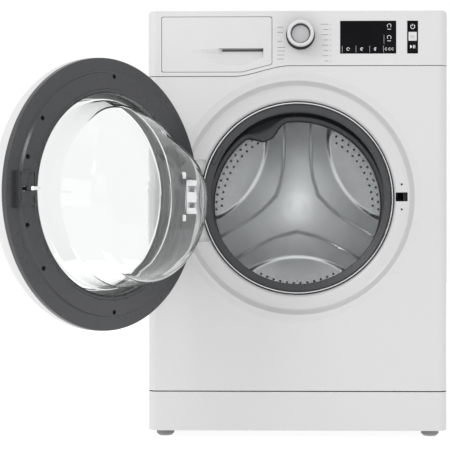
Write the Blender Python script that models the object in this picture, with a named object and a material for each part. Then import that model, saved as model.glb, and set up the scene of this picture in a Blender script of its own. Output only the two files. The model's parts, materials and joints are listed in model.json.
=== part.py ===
"""Front load washing machine: cabinet, door, drum drive and water parts as separate solids.

The drawing unit is the millimetre. Shapes are drawn in cabinet coordinates: X to the right from
the middle of the cabinet, Y backwards from the front plane, Z up from the floor. The door is
drawn shut and then swung open about its hinge. The finished model is in metres, and its origin
is at the middle of the bottom of its bounding box.
"""

import math

import bmesh
import bpy
from mathutils import Vector

MM = 0.001

# Cabinet
HALF_WIDTH = 297.5
HEIGHT = 850.0
BACK = 570.0
EDGE_RADIUS = 18.0
SHEET = 1.5
GAP = 0.3
PLINTH_BOTTOM, PLINTH_TOP = 16.0, 93.0
SIDE_FRONT = 22.0
WORKTOP_BOTTOM = 832.0

# Control fascia and what sits in it
FASCIA_FRONT = -1.0
FASCIA_LOW, FASCIA_HIGH = 719.0, 741.0
FASCIA_TOP = 848.0
FASCIA_STEP = (-124.0, -41.0)
DRAWER = (-270.0, -50.0, 726.5, 837.0)
DRAWER_CHAMFER = (-110.0, 742.0)
DRAWER_TRAVEL = 200.0
GRIP = (-150.0, -67.6, 742.0, 774.4)
KNOB = (6.0, 799.0)
KNOB_RADIUS = 29.0
KNOB_FRONT = -34.0
DISPLAY = (84.4, 195.4, 763.0, 828.0)
KEYS = (217.0, 238.5, 763.0, 828.0)
KEY_SPLITS = (765.0, 787.6, 806.2, 826.0)

# Porthole and door, both round about this height
OPENING_Z = 478.0
OPENING_RADIUS = 194.0
PORTHOLE_RADIUS = 245.0
DOOR_RADIUS = 243.0
HINGE = (-225.0, -28.0)
DOOR_OPEN = 124.7
LATCH = (210.0, -14.0)
LATCH_Z = OPENING_Z + 5.0
BOWL_SLOPE_START, BOWL_SLOPE = 130.0, 0.7
LEAF_HALF, LEAF_END = 33.0, 48.0

# Drum, tub and drive
DRUM_Z = 465.0
DRUM_RADIUS = 240.0
DRUM_FRONT, DRUM_BACK = 127.0, 450.0
TUB_RADIUS = 258.0
TUB_BACK = 489.0
SHAFT_RADIUS = 15.0
PULLEY_RADIUS = 140.0
MOTOR = (45.0, 135.0)
MOTOR_PULLEY_RADIUS = 10.0
BELT = (532.0, 546.0)
FEET = {"front_left": (-267.0, 45.0), "front_right": (267.0, 45.0),
        "rear_left": (-267.0, 540.0), "rear_right": (267.0, 540.0)}
FOOT_RADIUS = 18.0

ROUND = 36
SMALL_ROUND = 12
SHARP_ANGLE = math.radians(32)


# Shapes: each is a pair of points and faces in cabinet millimetres.

def prism(outline, low, high, axis):
    """The outline pushed along an axis: XY outlines go along Z, XZ along Y and YZ along X."""
    place = {"Z": lambda a, b, c: (a, b, c), "Y": lambda a, b, c: (a, c, b),
             "X": lambda a, b, c: (c, a, b)}[axis]
    count = len(outline)
    points = [place(a, b, low) for a, b in outline] + [place(a, b, high) for a, b in outline]
    sides = [(i, (i + 1) % count, count + (i + 1) % count, count + i) for i in range(count)]
    return points, sides + [tuple(range(count)), tuple(range(count, 2 * count))]


def box(left, right, front, back, bottom, top):
    corners = [(left, front), (right, front), (right, back), (left, back)]
    return prism(corners, bottom, top, "Z")


def turned(profile, centre, ways=ROUND, start=0.0, sweep=360.0):
    """The (radius, y) profile turned about a line along Y; each point may carry its own height."""
    whole = sweep >= 360.0
    count = ways if whole else ways + 1
    points, rings = [], []
    for corner in profile:
        radius, depth = corner[:2]
        height = corner[2] if len(corner) > 2 else centre[1]
        if radius == 0:
            points.append((centre[0], depth, height))
            rings.append([len(points) - 1] * count)
            continue
        ring = []
        for i in range(count):
            angle = math.radians(start + sweep * i / ways)
            ring.append(len(points))
            points.append((centre[0] + radius * math.cos(angle), depth,
                           height + radius * math.sin(angle)))
        rings.append(ring)
    faces = []
    for here, there in zip(rings, rings[1:] + rings[:1]):
        for i in range(ways):
            after = (i + 1) % count
            face = list(dict.fromkeys((here[i], here[after], there[after], there[i])))
            if len(face) > 2:
                faces.append(tuple(face))
    if not whole:
        faces += [tuple(ring[0] for ring in rings), tuple(ring[-1] for ring in rings)]
    return points, faces


def along(shape, start, direction):
    """A shape turned about Y, moved so that its Y axis runs from start in a direction."""
    points, faces = shape
    turn = Vector((0, 1, 0)).rotation_difference(Vector(direction))
    return [tuple(turn @ Vector(point) + Vector(start)) for point in points], faces


def swept(path, radius, sides=8):
    """A round rod along a path."""
    path = [Vector(point) for point in path]
    heading = (path[1] - path[0]).normalized()
    across = heading.orthogonal().normalized()
    points, faces = [], []
    for i, point in enumerate(path):
        before, after = path[max(i - 1, 0)], path[min(i + 1, len(path) - 1)]
        new = (after - before).normalized()
        across = heading.rotation_difference(new) @ across
        heading = new
        for k in range(sides):
            angle = 2 * math.pi * k / sides
            offset = across * math.cos(angle) + heading.cross(across) * math.sin(angle)
            points.append(tuple(point + radius * offset))
    for i in range(len(path) - 1):
        for k in range(sides):
            a, b = i * sides + k, i * sides + (k + 1) % sides
            faces.append((a, b, b + sides, a + sides))
    last = (len(path) - 1) * sides
    return points, faces + [tuple(range(sides)), tuple(range(last, last + sides))]


def band(outer, inner, low, high):
    """A closed strip between two XZ loops with the same number of points."""
    count = len(outer)
    loops = [(outer, low), (outer, high), (inner, high), (inner, low)]
    points = [(x, depth, z) for loop, depth in loops for x, z in loop]
    faces = []
    for ring in range(4):
        for i in range(count):
            after = (i + 1) % count
            here, there = ring * count, (ring + 1) % 4 * count
            faces.append((here + i, here + after, there + after, there + i))
    return points, faces


# Outlines

def arc(centre, radius, start, end, steps):
    angles = [math.radians(start + (end - start) * i / steps) for i in range(steps + 1)]
    return [(centre[0] + radius * math.cos(a), centre[1] + radius * math.sin(a)) for a in angles]


def wrapped_front(front, thickness, back):
    """The plan of a front sheet whose two upright edges curve back."""
    radius, inner = EDGE_RADIUS, EDGE_RADIUS - thickness
    middle = front + radius
    outside, inside = HALF_WIDTH, HALF_WIDTH - thickness
    left, right = (-HALF_WIDTH + radius, middle), (HALF_WIDTH - radius, middle)
    steps = 5
    return ([(-outside, back)] + arc(left, radius, 180, 270, steps)
            + arc(right, radius, 270, 360, steps) + [(outside, back), (inside, back)]
            + arc(right, inner, 360, 270, steps) + arc(left, inner, 270, 180, steps)
            + [(-inside, back)])


def step_line(drop=0.0):
    """The fascia's lower edge: low on the left, high on the right, with a smooth step between."""
    start, end = FASCIA_STEP
    line = [(-HALF_WIDTH - 10, FASCIA_LOW - drop)]
    steps = 8
    for i in range(steps + 1):
        part = i / steps
        rise = part * part * (3 - 2 * part)
        line.append((start + (end - start) * part,
                     FASCIA_LOW - drop + rise * (FASCIA_HIGH - FASCIA_LOW)))
    return line + [(HALF_WIDTH + 10, FASCIA_HIGH - drop)]


def drawer_outline(inset=0.0):
    left, right, bottom, top = DRAWER
    left, right, bottom, top = left + inset, right - inset, bottom + inset, top - inset
    corner = 5.0
    bevel_x, bevel_z = DRAWER_CHAMFER
    return ([(bevel_x - inset, bottom), (right, bevel_z + inset)]
            + arc((right - corner, top - corner), corner, 0, 90, 3)
            + arc((left + corner, top - corner), corner, 90, 180, 3)
            + arc((left + corner, bottom + corner), corner, 180, 270, 3))


def frame_of(rectangle, inset):
    left, right, bottom, top = rectangle
    return left + inset, right - inset, bottom + inset, top - inset


# Building

def material(name, colour, roughness, metallic=0.0, see_through=0.0):
    made = bpy.data.materials.new(name)
    made.use_nodes = True
    shader = made.node_tree.nodes["Principled BSDF"]
    shader.inputs["Base Color"].default_value = (*colour, 1)
    shader.inputs["Roughness"].default_value = roughness
    shader.inputs["Metallic"].default_value = metallic
    shader.inputs["Transmission Weight"].default_value = see_through
    return made


def empty(name, parent=None, place=(0, 0, 0), turn=0.0):
    """An axis or frame that pieces hang from; place is in cabinet millimetres."""
    made = bpy.data.objects.new(name, None)
    bpy.context.scene.collection.objects.link(made)
    made.location = Vector(place) * MM
    made.rotation_euler = (0, 0, math.radians(turn))
    made.parent = parent
    made["place"] = place
    return made


def solid(name, shape, parent, finish=None):
    points, faces = shape
    origin = Vector(parent["place"])
    mesh = bpy.data.meshes.new(name)
    mesh.from_pydata([(Vector(point) - origin) * MM for point in points], [], faces)
    work = bmesh.new()
    work.from_mesh(mesh)
    bmesh.ops.recalc_face_normals(work, faces=work.faces)
    work.to_mesh(mesh)
    work.free()
    mesh.shade_smooth()
    mesh.set_sharp_from_angle(angle=SHARP_ANGLE)
    made = bpy.data.objects.new(name, mesh)
    bpy.context.scene.collection.objects.link(made)
    made.parent = parent
    if finish:
        mesh.materials.append(finish)
    return made


def helper(target, shape, operation, parent):
    """A hidden shape that a Boolean joins to the target, cuts from it or keeps common to it."""
    tool = solid(f"{target.name}_{operation.lower()}_{len(target.modifiers)}", shape, parent)
    tool.hide_render = True
    tool.display_type = "WIRE"
    change = target.modifiers.new(operation.title(), "BOOLEAN")
    change.operation = operation
    change.solver = "EXACT"
    change.object = tool


def node(name, shape, parent, finish, add=(), cut=(), keep=()):
    made = solid(name, shape, parent, finish)
    for operation, shapes in (("INTERSECT", keep), ("UNION", add), ("DIFFERENCE", cut)):
        for other in shapes:
            helper(made, other, operation, parent)
    return made


def soften(target, width, segments=2):
    bevel = target.modifiers.new("Bevel", "BEVEL")
    bevel.width = width * MM
    bevel.segments = segments
    bevel.limit_method = "ANGLE"


# Cabinet

def make_front_panel(frame, finish):
    sheet = prism(wrapped_front(0.0, SHEET, SIDE_FRONT - GAP), PLINTH_TOP + 2.0, 760.0, "Z")
    above = step_line(drop=1.2) + [(HALF_WIDTH + 10, 800.0), (-HALF_WIDTH - 10, 800.0)]
    centre = (0.0, OPENING_Z)
    hole = turned([(0, -10), (0, 60), (PORTHOLE_RADIUS, 60), (PORTHOLE_RADIUS, -10)], centre)
    dish = [(248, 0.2), (242, 0.8), (238, 5), (229, 6.5), (224, 18), (198, 27),
            (OPENING_RADIUS, 32), (OPENING_RADIUS, 38), (196, 38), (198.5, 29.5), (226, 20),
            (231, 9), (239.5, 7.5), (244, 3), (248, 1.1)]
    pocket_wall = [(196.3, 37.8), (196.3, 33), (199, 28), (225, 19), (230, 8), (238, 6.5),
                   (238, 37.8)]
    low, high = OPENING_Z - 88.0, OPENING_Z + 77.0
    inner = [(-math.sqrt(197.0 ** 2 - (z - OPENING_Z) ** 2), z)
             for z in (low, low + 30, OPENING_Z - 20, OPENING_Z + 20, high - 30, high)]
    pocket = prism([(-225.0, high), (-225.0, low)] + inner, -5.0, 35.8, "Y")
    slot = box(197, 220, 5, 45, OPENING_Z - 7, OPENING_Z + 11)
    panel = node("front_panel", sheet, frame, finish)
    helper(panel, prism(above, -20, 60, "Y"), "DIFFERENCE", frame)
    helper(panel, hole, "DIFFERENCE", frame)
    helper(panel, turned(dish, centre), "UNION", frame)
    helper(panel, turned(pocket_wall, centre, 7, 153, 54), "UNION", frame)
    helper(panel, pocket, "DIFFERENCE", frame)
    helper(panel, slot, "DIFFERENCE", frame)


def make_cabinet(frame, white, steel, grey):
    make_front_panel(frame, white)
    node("plinth", prism(wrapped_front(0.0, SHEET, SIDE_FRONT - GAP), PLINTH_BOTTOM, PLINTH_TOP,
                         "Z"), frame, white)
    for side, sign in (("left", -1), ("right", 1)):
        out, inside = HALF_WIDTH, HALF_WIDTH - SHEET
        flange = HALF_WIDTH - 66.0
        top = WORKTOP_BOTTOM - GAP
        section = [(out, PLINTH_BOTTOM), (out, top), (flange, top), (flange, top - SHEET),
                   (inside, top - SHEET), (inside, PLINTH_BOTTOM)]
        section = [(sign * x, z) for x, z in section]
        node(f"side_panel_{side}", prism(section, SIDE_FRONT, BACK - 2.0, "Y"), frame, white)
    worktop = solid("worktop", box(-HALF_WIDTH + 0.5, HALF_WIDTH - 0.5, SIDE_FRONT, BACK + 1,
                                   WORKTOP_BOTTOM, HEIGHT), frame, white)
    soften(worktop, 4.0)
    rim = HALF_WIDTH - SHEET - GAP
    valve_hole = turned([(0, BACK - 20), (0, BACK + 5), (15, BACK + 5), (15, BACK - 20)],
                        (-150, 790), SMALL_ROUND)
    node("rear_panel", box(-rim, rim, BACK - 1.6, BACK, 62, 829), frame, steel,
         cut=(box(-170, 170, BACK - 20, BACK + 5, 250, 700), valve_hole))
    cover = node("rear_access_cover", box(-185, 185, BACK + GAP, BACK + 2.3, 235, 715), frame,
                 steel, add=(box(-165, 165, BACK + 1, BACK + 8, 255, 695),),
                 cut=(box(-163, 163, BACK - 5, BACK + 6.5, 257, 693),))
    soften(cover, 1.0, 1)
    tray = node("base_tray", box(-rim, rim, SIDE_FRONT + 1, BACK - 2.2, 18, 60), frame, grey,
                cut=(box(-rim + 3, rim - 3, SIDE_FRONT + 4, BACK - 5.2, 21, 70),))
    for x, y in FEET.values():
        helper(tray, box(x - 14, x + 14, y - 14, y + 14, 19, 46), "UNION", frame)
    bore = turned([(0, -5), (0, 70), (6.5, 70), (6.5, -5)], (0, 0), SMALL_ROUND)
    for x, y in FEET.values():
        helper(tray, along(bore, (x, y, 0), (0, 0, 1)), "DIFFERENCE", frame)
    foot = [(0, 0), (14, 0), (FOOT_RADIUS, 5), (FOOT_RADIUS, 13), (5, 15.5), (5, 46), (0, 46)]
    for name, (x, y) in FEET.items():
        node(f"foot_{name}", along(turned(foot, (0, 0), SMALL_ROUND), (x, y, 0), (0, 0, 1)),
             frame, grey)


# Control panel

def make_fascia(frame, white, black):
    plan = prism(wrapped_front(FASCIA_FRONT, 2.5, SIDE_FRONT - GAP), FASCIA_LOW - 5, HEIGHT, "Z")
    corner = 10.0
    edge, top = HALF_WIDTH + 0.5, FASCIA_TOP
    outline = (step_line() + [(HALF_WIDTH + 10, top - corner)]
               + arc((edge - corner, top - corner), corner, 0, 90, 4)
               + arc((-edge + corner, top - corner), corner, 90, 180, 4)
               + [(-HALF_WIDTH - 10, top - corner)])
    roof = box(-HALF_WIDTH + 10, HALF_WIDTH - 10, 0.5, SIDE_FRONT - 1, top - 3, top - 0.2)
    x, z = KNOB
    shaft_hole = turned([(0, -20), (0, 30), (5.5, 30), (5.5, -20)], (x, z), SMALL_ROUND)
    windows = [box(left, right, -20, 20, bottom, high)
               for left, right, bottom, high in (DISPLAY, KEYS)]
    panel = node("control_fascia", plan, frame, white,
                 keep=(prism(outline, -20, 60, "Y"),), add=(roof,),
                 cut=(prism(drawer_outline(), -20, 16, "Y"), shaft_hole, *windows))
    helper(panel, box(*DRAWER[:2], 16, 40, DRAWER[2] + 1, DRAWER[3] - 1), "DIFFERENCE", frame)
    left, right, bottom, high = frame_of(DISPLAY, GAP)
    node("display_window", box(left, right, FASCIA_FRONT - 0.6, 3, bottom, high), frame, black)
    left, right, bottom, high = frame_of(KEYS, GAP)
    node("key_surround", box(left, right, FASCIA_FRONT - 0.4, 5, bottom, high), frame, black,
         cut=(box(KEYS[0] + 2, KEYS[1] - 2, -20, 20, KEY_SPLITS[0], KEY_SPLITS[3]),))


def make_controls(frame, light, black, green):
    x, z = KNOB
    axis = empty("knob_axis", frame, (x, 0, z))
    front = KNOB_FRONT
    profile = [(0, front + 6), (19, front + 4.5), (22, front + 0.6), (26, front),
               (KNOB_RADIUS, front + 4), (KNOB_RADIUS, -2.5), (4.5, -2.5), (4.5, 20), (0, 20)]
    node("selector_knob", turned(profile, KNOB, 28), axis, light)
    names = ("start_pause_button", "steam_button", "power_button")
    for name, low, high in zip(names, KEY_SPLITS, KEY_SPLITS[1:]):
        middle = ((KEYS[0] + KEYS[1]) / 2, 0, (low + high) / 2)
        travel = empty(f"{name}_axis", frame, middle)
        finish = light if name == "steam_button" else black
        button = node(name, box(KEYS[0] + 2.5, KEYS[1] - 2.5, -2.6, 7, low + 0.5, high - 0.5),
                      travel, finish)
        soften(button, 1.0, 2)
    node("control_board", box(-25, 250, 24, 26, 752, 826), frame, green,
         add=(box(x - 14, x + 14, 21, 25, z - 14, z + 14), box(70, 245, 25, 42, 757, 821)))


# Detergent drawer

def make_drawer(frame, white, clear_grey, blue):
    slide = empty("drawer_slide", frame, (-160, 0, 780))
    left, right, low, high = GRIP
    wedge = prism([(-5, low - 2), (-1, low), (11, high - 6), (12, high - 3), (11, high), (-5, high)],
                  left, right, "X")
    node("drawer_front", prism(drawer_outline(0.6), FASCIA_FRONT, 4, "Y"), slide, white,
         add=(box(left - 5, right + 5, 2, 14.5, low - 6, high + 5),), cut=(wedge,))
    left, right, bottom, top = -258.0, -62.0, 744.0, 806.0
    split, back = -150.0, 265.0
    rooms = [box(left + 2.5, split - 1.2, 20, back - 2.5, bottom + 2.5, top + 9),
             box(split + 1.2, right - 2.5, 20, 138, bottom + 2.5, top + 9),
             box(split + 1.2, right - 2.5, 141, back - 2.5, bottom + 2.5, top + 9)]
    node("drawer_tray", box(left, right, 16, back, bottom, top), slide, clear_grey, cut=rooms)
    node("siphon_cap", box(split + 4, right - 5, 146, back - 7, 785, 788), slide, blue,
         add=(box(-112, -98, 190, 204, 750, 786),))
    left, right, bottom, top = -264.0, -56.0, 737.0, 815.0
    node("drawer_housing", box(left, right, 20, 292, bottom, top), frame, clear_grey,
         cut=(box(left + 2.2, right - 2.2, 0, 289, bottom + 2.2, top - 2.2),
              along(turned([(0, -10), (0, 10), (15, 10), (15, -10)], (0, 0), SMALL_ROUND),
                    (-210, 276, bottom), (0, 0, 1))))


# Door

def make_door(frame, white, dark, glass, chrome):
    hinge_x, hinge_y = HINGE
    door = empty("door_hinge_axis", frame, (hinge_x, hinge_y, OPENING_Z), -DOOR_OPEN)
    centre = (0.0, OPENING_Z)
    ring = DOOR_RADIUS
    shell = [(ring + 0.5, -12.5), (ring + 0.5, -27), (239, -39), (228, -47), (206, -50.5),
             (182, -47.5), (172, -42), (172, -39.5), (183, -44.8), (206, -47.8), (226, -44.5),
             (236, -37.5), (241, -26), (241, -12.5)]
    slots = [box(-262, -231, -45, -8, OPENING_Z + low, OPENING_Z + low + 13)
             for low in (9.5, -22.5)]
    node("door_outer_ring", turned(shell, centre), door, white, cut=slots)
    inner = [(ring, -3), (219.5, -3), (216.5, 3.5), (184, 5), (179.5, 2), (179.5, -8), (182, -8),
             (184, 1.8), (214.5, 0.6), (217, -6), (240, -6), (240, -12), (ring, -12)]
    block = box(189, 224, -4, 8, OPENING_Z - 27, OPENING_Z + 35)
    bosses = [box(205, 216, -20, 2, LATCH_Z + low, LATCH_Z + low + 4) for low in (6, -10)]
    mounts = [turned([(0, -8.6), (0, 3), (4, 3), (4, -8.6)], (-203.5, OPENING_Z + z),
                     SMALL_ROUND) for z in (42, -42)]
    hook_way = box(201, 218, -30, 20, LATCH_Z - 4, LATCH_Z + 4)
    pin_way = along(turned([(0, -16), (0, 16), (2.4, 16), (2.4, -16)], (0, 0), SMALL_ROUND),
                    (*LATCH, LATCH_Z), (0, 0, 1))
    leaf_way = box(-262, -199, -30, 20, OPENING_Z - LEAF_HALF - 1, OPENING_Z + LEAF_HALF + 1)
    post_ways = [box(-198, -186, -30, 20, OPENING_Z + low, OPENING_Z + low + 13.5)
                 for low in (LEAF_HALF + 1.5, -LEAF_END)]
    node("door_inner_frame", turned(inner, centre), door, dark, add=(block, *bosses, *mounts),
         cut=(hook_way, pin_way, leaf_way, *post_ways))
    low = OPENING_Z - 8.0
    outside = [(186, -10), (168.5, -9.5), (162, 35, low + 3), (144, 100, low), (130, 116, low),
               (66, 120, low), (0, 122, low)]
    inside = [(0, 118, low), (65, 116, low), (127, 112.2, low), (140, 98.5, low),
              (158, 34.5, low + 3), (164.5, -13.5), (186, -13.5)]
    on_outside = (len(outside) - 1) * ROUND + 1
    node("door_glass_bowl", sloped_bowl(turned(outside + inside, centre), on_outside), door, glass)
    window = [(0, -49), (110, -47.4), (169, -41.8), (171, -39.2), (181, -39.2), (181, -36.6),
              (168, -36.6), (110, -45), (0, -46.5)]
    node("door_outer_window", turned(window, centre), door, glass)
    barrel = arc(HINGE, 7.5, 55, -235, 14)
    section = ([(-240, -1), (-207, -1), (-207, -9), (-190, -9), (-190, -12), (-210, -12),
                (-210, -3.5), (-220, -3.5)] + barrel + [(-229.5, -3.5), (-240, -3.5)])
    arm_ways = [box(-262, -210.6, -50, 5, OPENING_Z + z, OPENING_Z + z + 11) for z in (10.5, -21.5)]
    pin_hole = along(turned([(0, -60), (0, 60), (4.5, 60), (4.5, -60)], (0, 0), SMALL_ROUND),
                     (*HINGE, OPENING_Z), (0, 0, 1))
    posts = [box(-197.5, -186.5, -11.8, 5.0, OPENING_Z + low, OPENING_Z + low + 12.5)
             for low in (LEAF_HALF + 2, -LEAF_END + 0.5)]
    back = box(-207.5, -186.5, -11.8, -9.2, OPENING_Z - LEAF_END, OPENING_Z + LEAF_END)
    node("hinge_leaf", prism(section, OPENING_Z - LEAF_HALF, OPENING_Z + LEAF_HALF, "Z"), door,
         chrome, add=(back, *posts), cut=(*arm_ways, pin_hole))
    side_a = [(-218, -24), (-211.5, -16), (-211, 0), (-209.5, 12), (-203, 22), (-203, 35.2)]
    side_b = [(-218, 35.2), (-218, 12), (-218.5, 0), (-219.5, -14)]
    arm = arc(HINGE, 7.5, 150, 390, 10) + side_a[1:] + side_b
    arms = [prism(arm, OPENING_Z + z, OPENING_Z + z + 9, "Z") for z in (11.5, -20.5)]
    node("hinge_bracket", box(-223, -201, 33, 35.5, OPENING_Z - 52, OPENING_Z + 52), frame, chrome,
         add=arms, cut=(pin_hole,))
    pin = turned([(0, -36), (4, -36), (4, 36), (0, 36)], (0, 0), SMALL_ROUND)
    node("hinge_pin", along(pin, (*HINGE, OPENING_Z), (0, 0, 1)), frame, chrome)
    make_latch(frame, door, dark, chrome)


def sloped_bowl(shape, on_outside):
    """Lays the upper part of the bowl back onto a plane that guides washing into the drum."""
    points, faces = shape
    thickness = 4.3
    leant = []
    for i, (x, y, z) in enumerate(points):
        plane = BOWL_SLOPE_START - BOWL_SLOPE * (z - OPENING_Z)
        leant.append((x, min(y, plane if i < on_outside else plane - thickness), z))
    return leant, faces


def make_latch(frame, door, dark, chrome):
    x, y = LATCH
    axis_place = (x, y, LATCH_Z)
    axis = empty("latch_axis", door, (x, y, LATCH_Z))
    axis.location = (Vector(axis_place) - Vector(door["place"])) * MM
    hook = (arc(LATCH, 5.5, 180, 345, 6)
            + [(213, -6), (213, 30), (218, 30), (217, 34), (211, 39), (207, 39), (206.5, -6)])
    hole = along(turned([(0, -9), (0, 9), (2.5, 9), (2.5, -9)], (0, 0), SMALL_ROUND),
                 axis_place, (0, 0, 1))
    node("latch_hook", prism(hook, LATCH_Z - 3, LATCH_Z + 3, "Z"), axis, chrome, cut=(hole,))
    pin = turned([(0, -10.5), (2, -10.5), (2, 10.5), (0, 10.5)], (0, 0), SMALL_ROUND)
    node("latch_pin", along(pin, axis_place, (0, 0, 1)), door, chrome)
    node("door_lock", box(199.5, 246, 30, 41, OPENING_Z - 24, OPENING_Z + 22), frame, dark,
         add=(box(214, 246, 39, 76, OPENING_Z - 30, OPENING_Z + 28),),
         cut=(box(190, 222, 20, 48, OPENING_Z - 9, OPENING_Z + 11),))


# Tub, drum and gasket

def make_gasket(frame, rubber):
    inner = [(192.6, 28), (188.5, 27), (187, 30), (174, 36.5), (174, 41.5), (190, 37.5),
             (203, 55), (206, 88), (177, 106), (172, 112), (173, 122)]
    outer = [(179, 123), (180, 110), (209, 92), (207, 54), (192.6, 40)]
    rings = []
    for radius, depth in inner + outer:
        shift = min(max((depth - 45) / 60, 0), 1)
        rings.append((radius, depth, OPENING_Z + shift * (DRUM_Z - OPENING_Z)))
    node("door_gasket", turned(rings, (0, OPENING_Z)), frame, rubber)


def make_tub(frame, plastic, steel, concrete):
    centre = (0.0, DRUM_Z)
    inside = TUB_RADIUS - 3
    front = [(183, 110), (183, 116), (250, 116), (inside, 121), (inside, 190), (TUB_RADIUS, 190),
             (TUB_RADIUS, 118), (252, 112.5), (187, 112.5), (187, 110)]
    node("tub_front", turned(front[::-1], centre), frame, plastic)
    rear = [(inside, 190.4), (inside, 484), (250, 485.5), (36, 485.5), (36, 525), (44, 525),
            (44, TUB_BACK), (252, TUB_BACK), (TUB_RADIUS, 484), (TUB_RADIUS, 190.4)]
    lugs = [prism([(sign * x, z) for x, z in ((165, 655), (250, 672), (250, 682), (150, 676))],
                  322, 338, "Y") for sign in (-1, 1)]
    node("tub_rear", turned(rear, centre), frame, plastic, add=lugs,
         cut=(box(-32, 32, 475, 500, 212.5, 224.5),))
    arc_x = 130.0
    saddle = [(x, DRUM_Z + math.sqrt(262.0 ** 2 - x * x)) for x in
              (arc_x - 2 * arc_x * i / 8 for i in range(9))]
    node("upper_counterweight", prism([(-arc_x, 775), (-arc_x + 15, 790), (arc_x - 15, 790),
                                       (arc_x, 775)] + saddle, 320, 455, "Y"), frame, concrete)
    rods = [(-22, 486, 218.3), (-22, 300, 218.3), (-20, 240, 218), (-12, 224, 217.6),
            (0, 218, 217.4), (12, 224, 217.6), (20, 240, 218), (22, 300, 218.3), (22, 486, 218.3)]
    node("heater", swept([(-22, 490, 218.3)] + rods + [(22, 490, 218.3)], 3.5, 8), frame, steel,
         add=(box(-36, 36, TUB_BACK + 0.4, TUB_BACK + 5, 206, 231),))
    ring = [(35.5, 0), (35.5, 14), (SHAFT_RADIUS + 0.5, 14), (SHAFT_RADIUS + 0.5, 0)]
    for name, depth in (("front_bearing", 492), ("rear_bearing", 509)):
        node(name, turned([(r, depth + d) for r, d in ring], centre, 24), frame, steel)


def make_drum(frame, steel, cast, plastic):
    centre = (0.0, DRUM_Z)
    axis = empty("drum_axis", frame, (0, DRUM_BACK, DRUM_Z))
    outer, skin = DRUM_RADIUS, 1.2
    shell = [(188, DRUM_FRONT), (230, DRUM_FRONT), (outer, DRUM_FRONT + 10), (outer, DRUM_BACK),
             (outer - skin, DRUM_BACK), (outer - skin, DRUM_FRONT + 10.6),
             (229.4, DRUM_FRONT + skin), (188, DRUM_FRONT + skin)]
    node("drum_shell", turned(shell[::-1], centre), axis, steel)
    wall = [(0, 428), (34, 430), (100, 445), (200, 449), (236, 447), (237, DRUM_BACK + 0.4),
            (outer, DRUM_BACK + 0.4), (outer, DRUM_BACK + 2), (200, 451), (100, 447), (34, 432),
            (0, 430)]
    node("drum_back", turned(wall, centre), axis, steel)
    for number in range(3):
        lean = math.radians(90 + 120 * number)
        out, side = Vector((math.cos(lean), 0, math.sin(lean))), Vector((-math.sin(lean), 0,
                                                                        math.cos(lean)))
        rib = []
        for across, up in ((-22, 235.6), (22, 235.6), (13, 210), (6, 198), (-6, 198), (-13, 210)):
            spot = out * up + side * across
            rib.append((spot.x, DRUM_Z + spot.z))
        node(f"drum_lifter_{number + 1}", prism(rib, 150, 425, "Y"), axis, plastic)
    star = []
    for number in range(3):
        middle = 30 + 120 * number
        star += [(r * math.cos(math.radians(middle + a)), DRUM_Z + r * math.sin(math.radians(
            middle + a))) for r, a in ((55, -45), (232, -5.5), (232, 5.5), (55, 45))]
    node("drum_spider", prism(star, 456, 472, "Y"), axis, cast,
         add=(turned([(0, 460), (0, 550), (SHAFT_RADIUS, 550), (SHAFT_RADIUS, 490), (28, 482),
                      (28, 460)], centre, 24),))
    rim = PULLEY_RADIUS
    pulley = [(SHAFT_RADIUS + 0.5, 528), (30, 528), (30, 536), (rim - 9, 536), (rim - 9, 530),
              (rim, 530), (rim, 548), (rim - 9, 548), (rim - 9, 540), (30, 540), (30, 549),
              (SHAFT_RADIUS + 0.5, 549)]
    node("drum_pulley", turned(pulley[::-1], centre, 30), axis, cast)


def belt_loop(offset):
    """The belt's side view: round the drum pulley, round the motor pulley, straight between."""
    big, small = PULLEY_RADIUS + offset, MOTOR_PULLEY_RADIUS + offset
    across, down = MOTOR[0], MOTOR[1] - DRUM_Z
    length, lean = math.hypot(across, down), math.degrees(math.atan2(down, across))
    half = math.degrees(math.acos((big - small) / length))
    return (arc((0, DRUM_Z), big, lean + half, lean + 360 - half, 28)
            + arc(MOTOR, small, lean - half, lean + half, 8))


def make_drive(frame, black, steel, cast):
    front, back = BELT
    node("drive_belt", band(belt_loop(2.4), belt_loop(0.5), front, back), frame, black)
    body = [(0, 385), (42, 385), (52, 392), (52, 495), (42, 503), (0, 503)]
    node("drive_motor", turned(body, MOTOR, 24), frame, steel,
         add=(box(MOTOR[0] - 62, MOTOR[0] + 62, 410, 422, MOTOR[1] - 9, MOTOR[1] + 9),
              box(MOTOR[0] - 62, MOTOR[0] + 62, 465, 477, MOTOR[1] - 9, MOTOR[1] + 9)))
    axis = empty("motor_axis", frame, (MOTOR[0], BELT[0], MOTOR[1]))
    small = MOTOR_PULLEY_RADIUS
    pulley = [(0, 504), (6, 504), (6, front - 2), (small, front - 2), (small, back + 2),
              (0, back + 2)]
    node("motor_pulley", turned(pulley, MOTOR, SMALL_ROUND), axis, cast)


def make_suspension(frame, steel, plastic):
    turns, coil, wire = 6, 9.0, 1.8
    for side, sign in (("left", -1), ("right", 1)):
        low, high = 690.0, 790.0
        steps = turns * 7
        path = [(sign * 240, 330, 684.5), (sign * 240, 330, low - 3)]
        for i in range(steps + 1):
            angle = 2 * math.pi * i / 7
            path.append((sign * 240 + coil * math.cos(angle), 330 + coil * math.sin(angle),
                         low + (high - low) * i / steps))
        path += [(sign * 240, 330, high + 6), (sign * 240, 330, 827)]
        node(f"suspension_spring_{side}", swept(path, wire, 4), frame, steel)
        foot, top = Vector((sign * 215, 300, 26)), Vector((sign * 160, 300, 255))
        length = (top - foot).length
        tube = [(0, 0), (11, 0), (11, 130), (5, 134), (5, length), (0, length)]
        node(f"damper_{side}", along(turned(tube, (0, 0), SMALL_ROUND), foot, top - foot),
             frame, plastic)


# Water parts

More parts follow.
